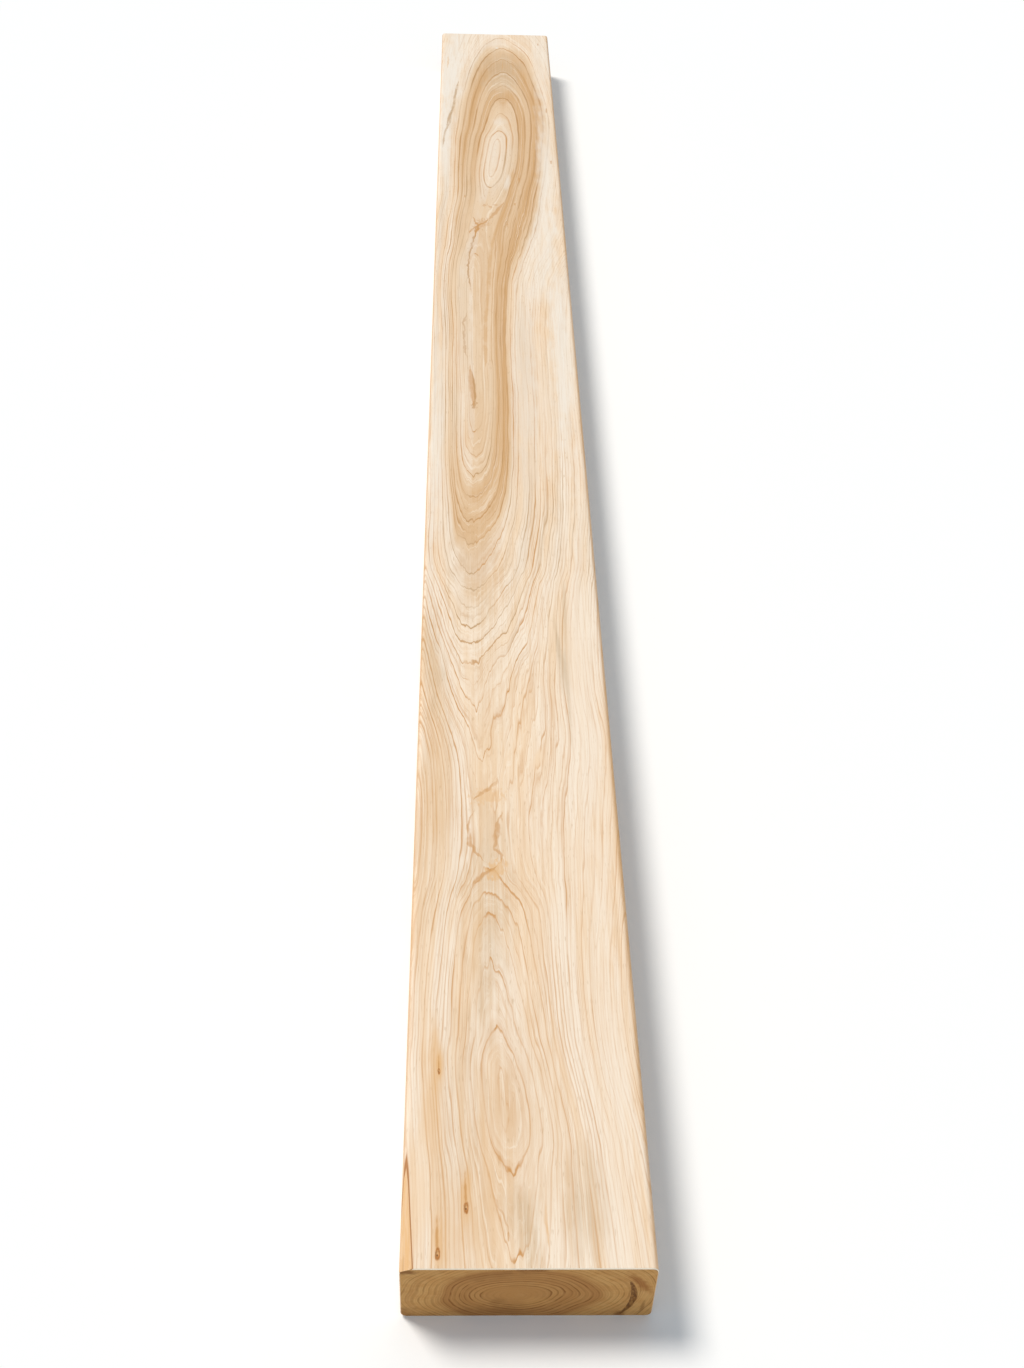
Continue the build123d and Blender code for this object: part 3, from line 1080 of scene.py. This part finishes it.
class PLANK_OT_board(bpy.types.Operator):
    """Builds the plank with its eased edges, wane, flaws and figure"""

    bl_idname = "timber_plank.board"
    bl_label = "Build plank"

    def execute(self, context):
        sizes = context.scene.plank_sizes
        wood = planed_timber(context.scene.plank_colours, sizes, growth_rings("ShaderNodeTree"))
        tree = plank_body(growth_rings("GeometryNodeTree"))
        holder = put(context, "plank_rule", bpy.data.meshes.new("plank_rule"))
        rule = holder.modifiers.new("Plank body", "NODES")
        rule.node_group = tree
        settings = {socket_name(key): getattr(sizes, key) for key in PlankSizes.__annotations__}
        settings["Wood"] = wood
        for item in tree.interface.items_tree:
            if item.in_out == "INPUT" and item.name in settings:
                rule[item.identifier] = settings[item.name]
        context.view_layer.update()
        depsgraph = context.evaluated_depsgraph_get()
        mesh = bpy.data.meshes.new_from_object(holder.evaluated_get(depsgraph), depsgraph=depsgraph)
        holder.modifiers.remove(rule)
        bpy.data.objects.remove(holder)
        if not mesh.polygons:
            raise RuntimeError("the plank came out empty")
        mesh.name = "timber_plank"
        board = put(context, "timber_plank", mesh)
        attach(board, "root")
        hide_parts("plank")
        return {"FINISHED"}


# The camera: where it stands, how it is turned, and its lens, for a frame 1368 high and 1024 wide
CAMERA_PLACE = (-0.0361, -1.1202, 0.7464)
CAMERA_PITCH = math.radians(42.32)
CAMERA_YAW = math.radians(2.63)
CAMERA_ROLL = math.radians(2.34)
CAMERA_LENS = 42.75
SENSOR_WIDTH = 36.0
# Where the key light comes from: the shadow's reach to the right and forward for each unit of height
SHADOW_RIGHT = 0.50
SHADOW_FORWARD = 0.41
# How many times that far away the key light hangs
LIGHT_REACH = 2.0
FLOOR_REACH = 12.0
FLOOR_ROUGHNESS = 0.9


class PLANK_OT_stage(bpy.types.Operator):
    """Builds the pale floor, the soft light and the camera"""

    bl_idname = "timber_plank.stage"
    bl_label = "Build stage"

    def execute(self, context):
        settings = context.scene.plank_stage
        self.lay_floor(context, settings)
        self.hang_light(context, settings)
        self.set_camera(context)
        context.scene.view_settings.view_transform = "Standard"
        return {"FINISHED"}

    def lay_floor(self, context, settings):
        mesh = bpy.data.meshes.new("floor")
        corners = ((-1, -1), (1, -1), (1, 1), (-1, 1))
        mesh.from_pydata([(x * FLOOR_REACH, y * FLOOR_REACH, 0) for x, y in corners], [], [(0, 1, 2, 3)])
        material = bpy.data.materials.new("pale_floor")
        tree = empty_tree(material)
        shader = run(tree, "ShaderNodeBsdfPrincipled", {
            "Base Color": opaque(settings.floor), "Roughness": FLOOR_ROUGHNESS, "Specular IOR Level": 0.0})
        new_node(tree, "ShaderNodeOutputMaterial", {"Surface": shader})
        mesh.materials.append(material)
        floor = put(context, "floor", mesh)

    def hang_light(self, context, settings):
        lamp = bpy.data.lights.new("key_light", "SUN")
        lamp.energy = settings.sun
        lamp.color = settings.sun_colour
        lamp.angle = settings.sun_spread
        light = put(context, "key_light", lamp)
        ray = Vector((SHADOW_RIGHT, -SHADOW_FORWARD, -1.0))
        light.rotation_euler = ray.to_track_quat("-Z", "Y").to_euler()
        light.location = -LIGHT_REACH * ray
        world = bpy.data.worlds.new("even_sky")
        tree = empty_tree(world)
        seen = run(tree, "ShaderNodeLightPath", out="Is Camera Ray")
        sky = run(tree, "ShaderNodeBackground", {
            "Color": seen.tint(settings.sky_colour, (1, 1, 1)), "Strength": seen.blend(settings.sky, 1.0)})
        new_node(tree, "ShaderNodeOutputWorld", {"Surface": sky})
        context.scene.world = world

    def set_camera(self, context):
        data = bpy.data.cameras.new("camera")
        data.lens = CAMERA_LENS
        data.sensor_width = SENSOR_WIDTH
        camera = put(context, "camera", data)
        stand = Matrix.Translation(CAMERA_PLACE)
        for angle, axis in ((-CAMERA_YAW, "Z"), (math.pi / 2 - CAMERA_PITCH, "X"), (CAMERA_ROLL, "Z")):
            stand = stand @ Matrix.Rotation(angle, 4, axis)
        camera.matrix_world = stand
        context.scene.camera = camera


class PLANK_PT_sidebar(bpy.types.Panel):
    """The plank's settings and its two operators"""

    bl_idname = "PLANK_PT_sidebar"
    bl_label = "Timber plank"
    bl_space_type = "VIEW_3D"
    bl_region_type = "UI"
    bl_category = "Timber plank"

    def draw(self, context):
        layout = self.layout
        scene = context.scene
        for title, settings, operator in (
            ("Sizes", scene.plank_sizes, None),
            ("Wood", scene.plank_colours, PLANK_OT_board),
            ("Stage", scene.plank_stage, PLANK_OT_stage),
        ):
            box = layout.box()
            box.label(text=title)
            for name in settings.__annotations__:
                box.prop(settings, name)
            if operator:
                box.operator(operator.bl_idname)


CLASSES = (PlankSizes, PlankColours, StageSettings, PLANK_OT_board, PLANK_OT_stage, PLANK_PT_sidebar)


def register():
    for kind in CLASSES:
        bpy.utils.register_class(kind)
    bpy.types.Scene.plank_sizes = bpy.props.PointerProperty(type=PlankSizes)
    bpy.types.Scene.plank_colours = bpy.props.PointerProperty(type=PlankColours)
    bpy.types.Scene.plank_stage = bpy.props.PointerProperty(type=StageSettings)


def unregister():
    del bpy.types.Scene.plank_stage
    del bpy.types.Scene.plank_colours
    del bpy.types.Scene.plank_sizes
    for kind in reversed(CLASSES):
        bpy.utils.unregister_class(kind)


def main():
    register()
    bpy.ops.timber_plank.stage()
    bpy.ops.timber_plank.board()


if __name__ == "__main__":
    main()
